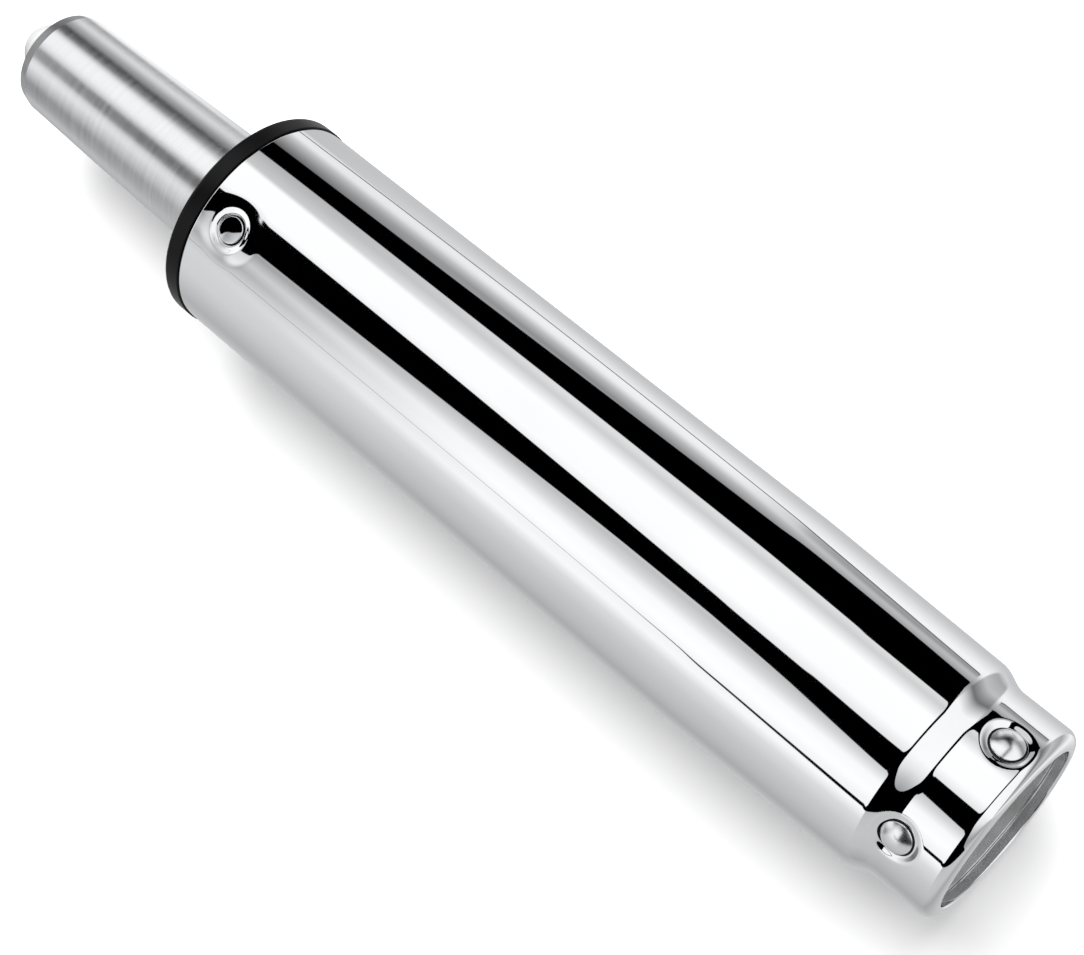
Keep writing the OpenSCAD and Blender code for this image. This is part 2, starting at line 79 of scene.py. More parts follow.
# Rivets: turn from the front towards +X in degrees, and height. Each sits in a dish of the skin,
# with a gap round its head. Outside the gap, a ring over the skin carries the fine shape.
UPPER_RIVET_Z = COLUMN_TOP - 9.0
FOOT_RIVETS = [(-38.5, 12.0), (34.0, 7.0), (141.5, 12.0), (214.0, 7.0)]
UPPER_RIVETS = [(-11.5, UPPER_RIVET_Z), (168.5, UPPER_RIVET_Z)]
FOOT_DISH = {"depth": 0.55, "flat": 3.4, "reach": 5.5, "pit": 4.5}
UPPER_DISH = {"depth": 0.25, "flat": 3.0, "reach": 8.5, "pit": 5.6}
PIT_DEPTH = 1.2
PIT_SLOPE = 0.4
FOOT_GAP = {"outer": 3.65, "ring": 5.2}
UPPER_GAP = {"outer": 3.12, "ring": 6.4}
GAP_FLOOR = -0.6

# Gas spring
TUBE_WALL = 1.5
CRIMP_R = 9.6
CONE_LOW = TIP - 60.0
CONE_BEND = 150
TIP_CHAMFER_W, TIP_CHAMFER_H = 0.6, 2.5
TIP_LIP = 2.0
BUTTON_HOLE_R = 6.3


# Meshes
def surface(name, grid, normals, poles=None, pole_normals=None):
    """A mesh from a grid of points (rows, columns, 3) in millimetres, whose columns close on
    themselves. Without poles the rows close too, as on a ring. With poles, one point closes each
    end."""
    rows, columns = grid.shape[:2]
    bands = rows if poles is None else rows - 1
    row, column = np.meshgrid(np.arange(bands), np.arange(columns), indexing="ij")
    above, beside = (row + 1) % rows, (column + 1) % columns
    quads = [
        row * columns + column, row * columns + beside,
        above * columns + beside, above * columns + column]
    faces = np.stack(quads, -1).reshape(-1, 4).tolist()
    points, directions = grid.reshape(-1, 3), normals.reshape(-1, 3)
    if poles is not None:
        here = np.arange(columns)
        following = (here + 1) % columns
        low, high = rows * columns, rows * columns + 1
        last = (rows - 1) * columns
        faces += np.stack([np.full(columns, low), following, here], -1).tolist()
        faces += np.stack([last + here, last + following, np.full(columns, high)], -1).tolist()
        points = np.concatenate([points, poles])
        directions = np.concatenate([directions, pole_normals])
    mesh = bpy.data.meshes.new(name)
    mesh.from_pydata((points * MM).tolist(), [], faces)
    mesh.shade_smooth()
    mesh.normals_split_custom_set_from_vertices(directions.tolist())
    piece = bpy.data.objects.new(name, mesh)
    bpy.context.scene.collection.objects.link(piece)
    return piece


def rounded(corners, steps=6, ends_open=False):
    """Side view of a turned piece as rows of r, z and the normal's r and z. Straight sides join
    the corners (r, z, fillet), and each corner is an arc that is tangent to both its sides. The
    corners run anticlockwise with r to the right and z up. With open ends, the first and last
    corner only aim a side."""
    table = np.array(corners, float)
    at, radius = table[:, :2], table[:, 2]
    inward = at - np.roll(at, 1, axis=0)
    onward = np.roll(inward, -1, axis=0)
    inward = inward / np.linalg.norm(inward, axis=1, keepdims=True)
    onward = onward / np.linalg.norm(onward, axis=1, keepdims=True)
    cross = inward[:, 0] * onward[:, 1] - inward[:, 1] * onward[:, 0]
    turn = np.arctan2(cross, (inward * onward).sum(1))
    outward = np.stack([inward[:, 1], -inward[:, 0]], 1)
    bulge = np.sign(turn) * radius
    start = at - inward * (radius * np.tan(np.abs(turn) / 2))[:, None]
    centre = start - outward * bulge[:, None]
    swing = turn[:, None] * np.linspace(0, 1, steps + 1)
    cos, sin = np.cos(swing), np.sin(swing)
    normal = np.stack([
        outward[:, :1] * cos - outward[:, 1:] * sin,
        outward[:, :1] * sin + outward[:, 1:] * cos], -1)
    rows = np.concatenate([centre[:, None] + normal * bulge[:, None, None], normal], -1)
    return (rows[1:-1] if ends_open else rows).reshape(-1, 4)


def arc(r, z, radius, start, end, steps=12):
    """Rows of an arc round (r, z) from one angle to another, in degrees, with normals away from
    its centre."""
    angle = np.radians(np.linspace(start, end, steps + 1))
    away = np.stack([np.cos(angle), np.sin(angle)], -1)
    return np.concatenate([away * radius + (r, z), away], -1)


def turned(name, rows, poles=None, columns=256):
    """A turned piece: each row of the side view (r, z, normal) goes round the Z axis. Poles are
    the levels at which its axis is closed, low and high."""
    angle = np.linspace(0, 2 * np.pi, columns, endpoint=False)
    cos, sin = np.cos(angle), np.sin(angle)
    r, z, out, up = (rows[:, i:i + 1] for i in range(4))
    level = np.ones_like(angle)
    grid = np.stack([r * cos, r * sin, z * level], -1)
    normals = np.stack([out * cos, out * sin, up * level], -1)
    if poles is None:
        return surface(name, grid, normals)
    return surface(name, grid, normals, [(0, 0, z) for z in poles], [(0, 0, -1), (0, 0, 1)])


def facing(grid, rows_close=True):
    """Normals of a grid whose columns close: the cross product of the steps along its rows and
    its columns."""
    along = np.roll(grid, -1, axis=1) - np.roll(grid, 1, axis=1)
    across = np.roll(grid, -1, axis=0) - np.roll(grid, 1, axis=0)
    if not rows_close:
        across[0], across[-1] = grid[1] - grid[0], grid[-1] - grid[-2]
    normal = np.cross(along, across)
    return normal / np.maximum(np.linalg.norm(normal, axis=-1, keepdims=True), 1e-12)


def ease(share):
    """0 to 1, leaving and arriving level: half a cosine wave, held at both ends."""
    return (1 - np.cos(np.pi * np.clip(share, 0, 1))) / 2


# The column's skin
def column_radius(z):
    """Radius of the column above its rim: the neck, the eased shoulder, then the seat taper,
    which runs into the straight shank over a short blend, the root of a square plus a constant."""
    drop = (SEAT_TOP - z + np.sqrt((SEAT_TOP - z) ** 2 + SEAT_BLEND ** 2)) / 2
    above = COLUMN_R - TAPER * drop
    step = ease((z - SHOULDER_LOW) / (SHOULDER_TOP - SHOULDER_LOW))
    top = COLUMN_R - TAPER * (SEAT_TOP - SHOULDER_TOP)
    return np.where(z < SHOULDER_TOP, NECK_R + (top - NECK_R) * step, above)


def dished(turn, z, radius, with_pits=False):
    """How far the skin is pressed in: each rivet sits in a dish with a flat middle and an eased
    edge. Under the head, a pit takes the skin out of the head's way."""
    depth = np.zeros(np.broadcast(turn, z).shape)
    for rivets, dish in ((FOOT_RIVETS, FOOT_DISH), (UPPER_RIVETS, UPPER_DISH)):
        for rivet_turn, rivet_z in rivets:
            apart = (turn - np.radians(rivet_turn) + np.pi) % (2 * np.pi) - np.pi
            far = np.hypot(apart * radius, z - rivet_z)
            depth += dish["depth"] * ease((dish["reach"] - far) / (dish["reach"] - dish["flat"]))
            if with_pits:
                depth += PIT_DEPTH * ease((dish["pit"] - far) / PIT_SLOPE)
    return depth


def column_side():
    """Side view of the column tube, anticlockwise: rim, outer wall, top edge, inner wall, rim's
    lip. The levels are close where the wall is shaped, and far apart on the taper and the shank."""
    fine_step = 0.28
    levels = np.concatenate([
        np.arange(RIM_ROUND + fine_step, 30, fine_step), np.linspace(31, 56, 7),
        np.linspace(57, 67, 11), np.linspace(70, 180, 10),
        np.arange(182, COLUMN_TOP - TOP_ROUND, fine_step)])
    bore_levels = np.concatenate([
        [200, 150, 100, SEAT_TOP, 40], np.linspace(SHOULDER_TOP, SHOULDER_LOW, 10)])
    bore_edge = COLUMN_R - WALL + BORE_ROUND, COLUMN_TOP - BORE_ROUND
    parts = [
        arc(NECK_R - RIM_ROUND, RIM_ROUND, RIM_ROUND, -90, 0)[:, :2],
        np.stack([column_radius(levels), levels], -1),
        arc(COLUMN_R - TOP_ROUND, COLUMN_TOP - TOP_ROUND, TOP_ROUND, 0, 90, 5)[:, :2],
        arc(*bore_edge, BORE_ROUND, 90, 180, 3)[:, :2],
        np.stack([column_radius(bore_levels) - WALL, bore_levels], -1),
        [(NECK_R - WALL, RIM_LIP)],
        arc(MOUTH_R + MOUTH_ROUND, RIM_LIP - MOUTH_ROUND, MOUTH_ROUND, 90, 180, 5)[:, :2],
        arc(MOUTH_R + MOUTH_ROUND, MOUTH_ROUND, MOUTH_ROUND, 180, 270, 5)[:, :2]]
    return np.concatenate(parts)


def column_skin():
    """The column tube: its side view goes round the axis, and its outer wall is pressed in at the
    rivets along the side view's own normal."""
    side = column_side()
    turn = np.linspace(0, 2 * np.pi, SKIN_COLUMNS, endpoint=False)
    r, z = side[:, :1], side[:, 1:]
    step = np.roll(side, -1, axis=0) - np.roll(side, 1, axis=0)
    step = step / np.linalg.norm(step, axis=1, keepdims=True)
    outside = (r > COLUMN_R - 2 * WALL) & (step[:, 1:] > 0)

    def placed(depth):
        radius = r - depth * step[:, 1:] * outside
        level = z + depth * step[:, :1] * outside
        return np.stack([radius * np.sin(turn), -radius * np.cos(turn), level], -1)

    smooth = placed(dished(turn[None], z, r))
    pressed = placed(dished(turn[None], z, r, with_pits=True))
    return surface("column_skin", pressed, facing(smooth))


def skin_height(x, y, rivet):
    """Height of the dished skin over the plane through the column's axis that is square to a
    rivet's axis, x round the column and y up it from the rivet. Two rounds are enough for the
    radius to settle."""
    level = y + rivet[1]
    below = np.minimum(level, RIM_ROUND)
    rim = NECK_R - RIM_ROUND + np.sqrt(np.maximum(RIM_ROUND ** 2 - (RIM_ROUND - below) ** 2, 0))
    plain = np.where(level < RIM_ROUND, rim, column_radius(level))
    radius = plain
    for _ in range(2):
        turn = np.radians(rivet[0]) + np.arcsin(x / radius)
        radius = plain - dished(turn, level, plain)
    return np.sqrt(radius ** 2 - x ** 2)


# Rivets
def domed(head_r, edge, edge_round, slope):
    """Rows of a rivet's head from its side's foot to its top: a straight side, a rounded edge at
    the height edge, and a cap whose edge slopes by so many degrees. The cap's radius makes it
    tangent to the round."""
    lean = 90 - slope
    cos, sin = np.cos(np.radians(lean)), np.sin(np.radians(lean))
    cap = (head_r - edge_round + edge_round * cos) / cos
    centre = edge + (edge_round - cap) * sin
    return np.concatenate([
        [(head_r, GAP_FLOOR, 1, 0)], arc(head_r - edge_round, edge, edge_round, 0, lean, 5),
        arc(0, centre, cap, lean, 90, 14)[1:]])


def collar(far, angle):
    """Height of the collar that is pressed up round an upper rivet. It climbs from the gap in a
    short way and eases out over a width that changes with the cosine of the angle, widest
    towards the tip."""
    height, climb, top_r, widest_at = 0.34, 0.3, 3.4, np.radians(126)
    middle_width, change = 1.7, 0.8
    width = middle_width + change * np.cos(angle - widest_at)
    return height * ease((far - top_r + climb) / climb) * (1 - ease((far - top_r) / width))


def rivet_head(name, rivet, head, gap, seat, raised=None, spokes=96, rings=20):
    """A rivet's head, the gap round it and a ring of the skin outside the gap, turned about the
    rivet's axis. Heights count from the flat seat. Outside the gap they are those of the skin,
    plus what is raised. The ring lies just over the column's skin and dives under it at its edge,
    and is shaded as the skin is."""
    gap_r, ring_r, head_r, clear = gap["outer"], gap["ring"], head[0, 0], 0.02
    over, under, skirt, back = 0.02, -0.03, -0.08, -2.0
    far = np.linspace(gap_r + 2 * clear, ring_r, rings)
    ring = np.stack([far, np.where(far < far[-2], over, under)], -1)[::-1]
    trench = [(gap_r, GAP_FLOOR / 2), (gap_r - clear, GAP_FLOOR), (head_r + clear, GAP_FLOOR)]
    rows = np.concatenate([[(ring_r, back), (ring_r, skirt)], ring, trench, head[:-1, :2]])
    angle = np.linspace(0, 2 * np.pi, spokes, endpoint=False)
    s, level = rows[:, :1], rows[:, 1:]
    x, y = s * np.cos(angle), s * np.sin(angle)
    on_skin = (s > gap_r) & (level > back)
    height = seat + level + np.where(on_skin, skin_height(x, y, rivet) - seat, 0)
    if raised is not None:
        height = height + np.where(on_skin, raised(s, angle), 0)
    turn = np.radians(rivet[0])
    around = np.array([np.cos(turn), np.sin(turn), 0])
    out = np.array([np.sin(turn), -np.cos(turn), 0])
    up = np.array([0, 0, 1.0])
    plane = x[..., None] * around + y[..., None] * up + up * rivet[1]
    lifted = plane + height[..., None] * out
    smooth = plane + (height - level * on_skin)[..., None] * out
    poles = [out * (seat + end) + up * rivet[1] for end in (back, head[-1, 1])]
    piece = surface(name, lifted, facing(smooth, rows_close=False), poles, [-out, out])
    middle = (s[1:, 0] + s[:-1, 0]) / 2
    # The gap's faces take the third finish, whose near black is painted shade
    of_head, of_skin, of_gap = 0, 1, 2
    kind = np.where(middle > gap_r, of_skin, np.where(middle > head_r, of_gap, of_head))
    kinds = np.concatenate([np.repeat(kind, spokes), np.full(2 * spokes, of_head)])
    piece.data.polygons.foreach_set("material_index", kinds)
    return piece


# The other turned pieces
def guide_ring():
    """The bush's lip on the column, with its barrel inside: the ring that shows is the lip."""
    ring_r, barrel_r, bore_r, edge = COLUMN_R - WALL - 0.05, 16.5, TUBE_R + 0.08, 0.15
    return rounded([
        (bore_r, BUSH_LOW, 0.3), (barrel_r, BUSH_LOW, 0.3), (barrel_r, COLUMN_TOP - 1, 0.2),
        (ring_r, COLUMN_TOP - 1, 0.2), (ring_r, COLUMN_TOP, 0.1), (LIP_R, COLUMN_TOP, edge),
        (LIP_R, LIP_TOP, 1.3), (bore_r + 3, LIP_TOP, 0.8), (bore_r, LIP_TOP - 1, 0.3)])


def gas_tube():
    """Pressure tube: crimped end, straight length, seat taper and the steep chamfer round the
    tip."""
    tip_r = TUBE_R - (TIP - CONE_LOW) * TAPER
    bore_r, bore_low, bore_top = TUBE_R - TUBE_WALL, TUBE_LOW + TUBE_WALL, TIP - TIP_LIP
    return rounded([
        (CRIMP_R, TUBE_LOW, 0.2), (TUBE_R, TUBE_LOW, 1.0), (TUBE_R, CONE_LOW, CONE_BEND),
        (tip_r + TIP_CHAMFER_H * TAPER, TIP - TIP_CHAMFER_H, 0.3),
        (tip_r - TIP_CHAMFER_W, TIP, 0.25),
        (BUTTON_HOLE_R, TIP, 0.2), (BUTTON_HOLE_R, bore_top, 0.1),
        (tip_r - TUBE_WALL + TIP_LIP * TAPER, bore_top, 0.1), (bore_r, CONE_LOW, CONE_BEND),
        (bore_r, bore_low, 0.3), (CRIMP_R, bore_low, 0.2)])


def button():
    """Release button: a straight side, a small shoulder and a dome, whose radius follows from its
    height over the side."""
    dome, shoulder, shoulder_angle = 4.3, 0.6, 6
    cap = (BUTTON_R ** 2 + dome ** 2) / (2 * dome)
    lean = np.degrees(np.arccos(BUTTON_R / cap))
    side = rounded([
        (0, BUTTON_LOW, 0), (BUTTON_R, BUTTON_LOW, 0.4), (BUTTON_R, BUTTON_TOP - dome, shoulder),
        (0, BUTTON_TOP + dome, 0)], ends_open=True)
    top = arc(0, BUTTON_TOP - cap, cap, lean + shoulder_angle, 90, 24)
    return np.concatenate([side, top[:-1]])


def cup():
    """Base cup: plate with the rod's hole, rounded corner and the skirt that lines the neck."""
    hole_r, wall, plate, edge = 4.08, 1.3, 3.0, 0.25
    bend_inside, bend_outside = 1.25, 2.5
    return rounded([
        (hole_r, CUP_TOP - plate, 0.3), (CUP_R - wall, CUP_TOP - plate, bend_inside),
        (CUP_R - wall, CUP_LOW, edge), (CUP_R, CUP_LOW, edge), (CUP_R, CUP_TOP, bend_outside),
        (hole_r, CUP_TOP, 0.3)])


def foot_washer():
    """Plain washer under the cup, punched, so with one softer edge."""
    hole_r = 4.05
    return rounded([
        (hole_r, WASHER_LOW, 0.15), (WASHER_R, WASHER_LOW, 0.35), (WASHER_R, WASHER_TOP, 0.1),
        (hole_r, WASHER_TOP, 0.1)])


# Shading
def colour(code):
    """Linear colour of an sRGB hex code: each channel is divided by 12.92 when dark, else raised
    to 2.4."""
    srgb = np.array([int(code[i:i + 2], 16) for i in (1, 3, 5)]) / 255
    linear = np.where(srgb <= 0.04045, srgb / 12.92, ((srgb + 0.055) / 1.055) ** 2.4)
    return (*linear.tolist(), 1.0)


def add(tree, kind, inputs=(), **settings):
    """One node with its settings. Its inputs, in order or by name, are values, or nodes or sockets
    to link."""
    node = tree.nodes.new(kind)
    for name, value in settings.items():
        setattr(node, name, value)
    for key, value in inputs.items() if isinstance(inputs, dict) else enumerate(inputs):
        if isinstance(value, bpy.types.Node):
            tree.links.new(value.outputs[0], node.inputs[key])
        elif isinstance(value, bpy.types.NodeSocket):
            tree.links.new(value, node.inputs[key])
        else:
            node.inputs[key].default_value = value
    return node


def fill(ramp, table):
    """Fills a colour ramp from pairs of a place from 0 to 1 and a hex code."""
    for place, shade in table[1:-1]:
        ramp.elements.new(place)
    for element, (place, shade) in zip(ramp.elements, table):
        element.position = place
        element.color = colour(shade)


WHITE, BLACK = colour("#ffffff"), colour("#000000")
# Most of a noise lies between these two values
NOISE_LOW, NOISE_HIGH = 0.3, 0.7


def finish(name, tone, dark, metallic, roughness, grain, bump, speckle=None, **sockets):
    """A material: colour and roughness vary with a noise whose grain is in millimetres along X, Y
    and Z, and a noise of the speckle's size raises the surface by bump millimetres."""
    material = bpy.data.materials.new(name)
    material.use_nodes = True
    tree = material.node_tree
    shader = tree.nodes["Principled BSDF"]
    shader.inputs["Metallic"].default_value = metallic
    for socket, value in sockets.items():
        shader.inputs[socket.replace("_", " ")].default_value = value
    place = add(tree, "ShaderNodeTexCoord").outputs["Object"]
    coarse, fine = ([1 / (MM * size) for size in sizes] for sizes in (grain, speckle or grain))
    scaled = add(tree, "ShaderNodeMapping", {"Vector": place, "Scale": coarse})
    noise = add(tree, "ShaderNodeTexNoise", {
        "Vector": scaled, "Scale": 1.0, "Detail": 4.0, "Roughness": 0.55}).outputs["Fac"]
    tint = add(tree, "ShaderNodeValToRGB", {"Fac": noise})
    fill(tint.color_ramp, [(NOISE_LOW, dark), (NOISE_HIGH, tone)])
    rough = add(tree, "ShaderNodeMapRange", (noise, NOISE_LOW, NOISE_HIGH, *roughness))
    finer = add(tree, "ShaderNodeMapping", {"Vector": place, "Scale": fine})
    grit = add(tree, "ShaderNodeTexNoise", {"Vector": finer, "Scale": 1.0, "Detail": 2.0})
    raised = add(tree, "ShaderNodeBump", {
        "Height": grit.outputs["Fac"], "Strength": 1.0, "Distance": bump * MM})
    tree.links.new(tint.outputs["Color"], shader.inputs["Base Color"])
    tree.links.new(rough.outputs["Result"], shader.inputs["Roughness"])
    tree.links.new(raised.outputs["Normal"], shader.inputs["Normal"])
    return material


def brushed(material, anisotropy):
    """Stretches the gloss of a finish along Z, as marks that run round the axis do."""
    tree = material.node_tree
    shader = tree.nodes["Principled BSDF"]
    shader.inputs["Anisotropic"].default_value = anisotropy
    shader.inputs["Anisotropic Rotation"].default_value = 0.25
    tangent = add(tree, "ShaderNodeTangent", direction_type="RADIAL", axis="Z")
    tree.links.new(tangent.outputs["Tangent"], shader.inputs["Tangent"])
    return material


# Bright chrome over polished steel: a mirror, with the faint swell that polishing leaves
chrome = finish(
    "chrome_plated_steel", "#f4f5f6", "#eff1f2", 1.0, (0.02, 0.035), (14, 14, 40), 0.0006)
# Chromed rivet steel, cold formed: a little softer than the tube
rivet_chrome = finish(
    "chrome_plated_rivet_steel", "#f4f5f6", "#eceef0", 1.0, (0.2, 0.26), (3, 3, 3), 0.0004)
# The gap round a rivet: painted nearly black for the shade that falls deep in it, and partly where
# plating doesn't reach and polish collects
gap_dark_with_painted_shade = finish(
    "unplated_gap_with_painted_shade", "#161617", "#0d0d0e", 0.0, (0.5, 0.7), (1, 1, 1), 0.002)
# Ground steel: satin, with grinding marks round the tube. Real marks are too fine to show, so
# these are drawn 0.35 mm apart.
ground_steel = brushed(finish(
    "ground_steel", "#f0f1f2", "#e9eaeb", 1.0, (0.22, 0.26), (30, 30, 0.9), 0.0003,
    speckle=(24, 24, 0.35)), 0.4)
# Moulded black acetal: satin, with the faint grain of the mould
acetal = finish(
    "moulded_black_acetal", "#0b0b0c", "#080809", 0.0, (0.24, 0.32), (6, 6, 6), 0.002,
    speckle=(0.35, 0.35, 0.35), IOR=1.48, Specular_IOR_Level=0.14)
# Moulded white nylon: waxy, light goes a little way in. Its white is written as a mid grey,
# because the lamp would burn a lighter one out.
nylon = finish(
    "moulded_white_nylon", "#bfbfbe", "#b8b8b7", 0.0, (0.35, 0.45), (4, 4, 4), 0.001,
    IOR=1.53, Subsurface_Weight=0.2, Subsurface_Scale=0.002, Subsurface_Radius=(1.0, 1.0, 1.0))
# Deep-drawn steel with bright zinc: faint draw marks along the skirt, and a gloss that gives the
# mouth its streaks
drawn_zinc = finish(
    "deep_drawn_zinc_plated_steel", "#ffffff", "#e6e6e6", 0.75, (0.12, 0.2), (12, 12, 40), 0.001)
# Zinc on punched and turned steel: even, soft gloss
zinc = finish("zinc_plated_steel", "#c9ccd0", "#b2b6bb", 1.0, (0.3, 0.42), (3, 3, 3), 0.002)
# Cold-drawn steel tube, as it leaves the die: matt, with marks along its length
drawn_steel = finish("cold_drawn_steel", "#b9babb", "#a3a4a6", 1.0, (0.3, 0.4), (4, 4, 40), 0.002)
# Hardened and ground bearing steel: bright, almost a mirror
bearing_steel = finish(
    "ground_bearing_steel", "#cfd1d3", "#bfc1c4", 1.0, (0.12, 0.2), (5, 5, 5), 0.0008)
# Punched brass sheet: warm yellow, soft gloss
brass = finish("brass_sheet", "#c9a45c", "#b08a45", 1.0, (0.25, 0.35), (3, 3, 3), 0.002)
# Spring steel with black oxide: dark and nearly matt
spring_steel = finish(
    "black_oxide_spring_steel", "#3a3b3d", "#2c2d2f", 1.0, (0.35, 0.5), (2, 2, 2), 0.002)
# Hard chrome on the ground rod: bright, with the last grinding marks round it
hard_chrome = brushed(finish(
    "hard_chrome_rod", "#e2e4e6", "#d6d8da", 1.0, (0.08, 0.14), (20, 20, 0.8), 0.0006), 0.4)
# Turned aluminium: pale, with tool marks round the axis
aluminium = finish(
    "turned_aluminium", "#cfd0d2", "#bdbfc2", 1.0, (0.25, 0.35), (20, 20, 0.5), 0.0015)
# Moulded rubber: dull black with a fine grain
bumper_rubber = finish(
    "moulded_rubber", "#232424", "#1a1b1b", 0.0, (0.6, 0.75), (4, 4, 4), 0.004,
    speckle=(0.4, 0.4, 0.4), IOR=1.52)
# Nitrile rubber, oiled: black with a slight sheen
seal_rubber = finish(
    "nitrile_rubber", "#1b1b1c", "#141415", 0.0, (0.45, 0.6), (3, 3, 3), 0.002, IOR=1.52)
# Natural acetal: cream white and waxy
natural_acetal = finish(
    "natural_acetal", "#e8e4da", "#ddd8cc", 0.0, (0.35, 0.45), (5, 5, 5), 0.002, IOR=1.48)


# Pieces
def dress(piece, materials, body, slot, *replaced):
    """Gives a new piece its finishes and the body that it rides on, and hides the CAD nodes that it
    stands for. The slot is not used."""
    for material in materials:
        piece.data.materials.append(material)
    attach(piece, body)
    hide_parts(*replaced)


FOOT_SEAT, UPPER_SEAT = NECK_R - FOOT_DISH["depth"], COLUMN_R - UPPER_DISH["depth"]
FOOT_HEAD = domed(head_r=3.3, edge=0.1, edge_round=0.22, slope=33)
UPPER_HEAD = domed(head_r=2.9, edge=0.42, edge_round=0.16, slope=4.5)

dress(column_skin(), [chrome], "column", "column_chrome", "column_tube")
# The third finish, in the gap round each foot rivet's head, is nearly black as painted shade
for number, rivet in enumerate(FOOT_RIVETS, 1):
    head = rivet_head(f"foot_rivet_{number}", rivet, FOOT_HEAD, FOOT_GAP, FOOT_SEAT)
    dress(head, [rivet_chrome, chrome, gap_dark_with_painted_shade], "column", "rivet_chrome", "foot_rivets")
# The third finish, in the gap round each upper rivet's head, is nearly black as painted shade
for number, rivet in enumerate(UPPER_RIVETS, 1):
    head = rivet_head(f"upper_rivet_{number}", rivet, UPPER_HEAD, UPPER_GAP, UPPER_SEAT, collar)
    dress(head, [chrome, chrome, gap_dark_with_painted_shade], "column", "rivet_chrome", "upper_rivets")
dress(turned("guide_ring", guide_ring()), [acetal], "column", "black_acetal", "guide_bush")
dress(turned("gas_tube", gas_tube()), [ground_steel], "gas_spring", "ground_steel",
      "pressure_tube")
dress(turned("button", button(), (BUTTON_LOW, BUTTON_TOP), 128), [nylon], "release", "white_nylon",
      "release_button")
dress(turned("cup", cup()), [drawn_zinc], "column", "pressed_steel", "base_cup")
dress(turned("washer_under_cup", foot_washer(), columns=128), [zinc], "rod", "zinc_steel",
      "foot_washer")

# The CAD nodes that stay, inside the column and the gas spring
CARRIED = {
    "lower_race": bearing_steel, "ball_cage": brass, "bearing_balls": bearing_steel,
    "upper_race": bearing_steel, "bumper_washer": zinc, "rubber_bumper": bumper_rubber,
    "retaining_clip": spring_steel, "piston_rod": hard_chrome, "piston": aluminium,
    "piston_ring": seal_rubber, "piston_nut": zinc, "seal_washer": zinc, "rod_seal": seal_rubber,
    "rod_guide": natural_acetal, "inner_tube": drawn_steel, "valve_body": aluminium,
    "valve_orings": seal_rubber, "valve_seat": seal_rubber, "pin_orings": seal_rubber,
    "release_pin": bearing_steel}
for node, material in CARRIED.items():
    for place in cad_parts[node].material_slots:
        place.material = material


# The studio
# Each side of a panel is pairs of an elevation and the azimuth there, in degrees. Azimuth 0 is the
# front, -Y, and it grows towards +X. A flag is the dark between two softboxes, and the two thin
# lines are narrow gaps.
LEFT_LINE = [
    (-20, -69), (7, -67.5), (10, -64.5), (13, -61.3), (18, -58.8), (25, -58), (34, -59), (60, -59)]
LEFT_GAP = [(-20, 3.6), (7, 3.6), (10, 2.6), (13, 1.6), (16, 0.8), (19, 0.3), (34, 0.2), (60, 0.2)]
FLAG_1_LEFT = [
    (-20, -28), (7, -26), (9, -22.5), (11, -18.5), (15, -16.5), (19, -16.7), (24, -20), (29, -24),
    (34, -27.5), (37, -32), (60, -33)]
FLAG_1_RIGHT = [
    (-20, -4), (7, -4), (11, -2.2), (17, -0.5), (22, 1.4), (27, 2.4), (34, 0.6), (37, -7),
    (60, -9)]
FLAG_2_LEFT = [
    (-20, 57), (7, 57.5), (14, 59.6), (20, 60.2), (26, 59.2), (34, 55), (37, 47.5), (60, 46)]
FLAG_2_RIGHT = [
    (-20, 88), (7, 90), (11, 92), (15, 90), (21, 85.8), (27, 80.5), (34, 73.5), (37, 69.5),
    (60, 69)]
RIGHT_LINE = [
    (-20, 104), (7, 106), (13, 112), (18, 116), (23, 118), (28, 115), (34, 109.5), (60, 109.5)]
RIGHT_GAP = 1.2
GROUND_LEFT = [
    (-90, -170), (-72, -100), (-58, -60), (-43, -44), (-37, -38), (-29, -29), (-20, -20),
    (-11, -13.5), (0, -10)]
FLAGS_TOP = 58.0
# Past every azimuth and every elevation
LEFTMOST, RIGHTMOST, LOWEST, HIGHEST = -400.0, 400.0, -100.0, 200.0

# Shades by azimuth: below the column's foot, then what its lower half, its upper half and the gas
# spring mirror
GROUND_SHADES = [
    (-180, "#c0c0c1"), (-138, "#a4a4a5"), (-117, "#bdbdbe"), (-97, "#c3c3c4"), (-77, "#c0c0c1"),
    (-58, "#adadae"), (-39, "#98989a"), (-26, "#bcbcbd"), (-12, "#e6e6e7"), (2, "#fafafa"),
    (66, "#f6f6f6"), (78, "#c0c0c1"), (88, "#6e6e70"), (98, "#969697"), (108, "#bcbcbd"),
    (130, "#a4a4a5"), (155, "#f0f0f0"), (180, "#c0c0c1")]
LOW_SHADES = [
    (-180, "#c0c0c1"), (-160, "#bbbbbc"), (-138, "#a9a9aa"), (-127, "#b3b3b4"), (-117, "#bbbbbc"),
    (-97, "#c7c7c8"), (-80, "#dadadb"), (-69, "#f8f8f8"), (-60, "#f4f4f4"), (-50, "#ffffff"),
    (-38, "#fafafa"), (-29, "#d8d8d9"), (-20, "#bfbfc0"), (0, "#ececec"), (8, "#fdfdfd"),
    (36, "#ffffff"), (44, "#e4e4e4"), (50, "#cecece"), (58, "#e0e0e0"), (88, "#8a8a8b"),
    (98, "#b8b8b9"), (107, "#ececec"), (114, "#f2f2f2"), (138, "#cdcdce"), (152, "#c0c0c1"),
    (180, "#c0c0c1")]
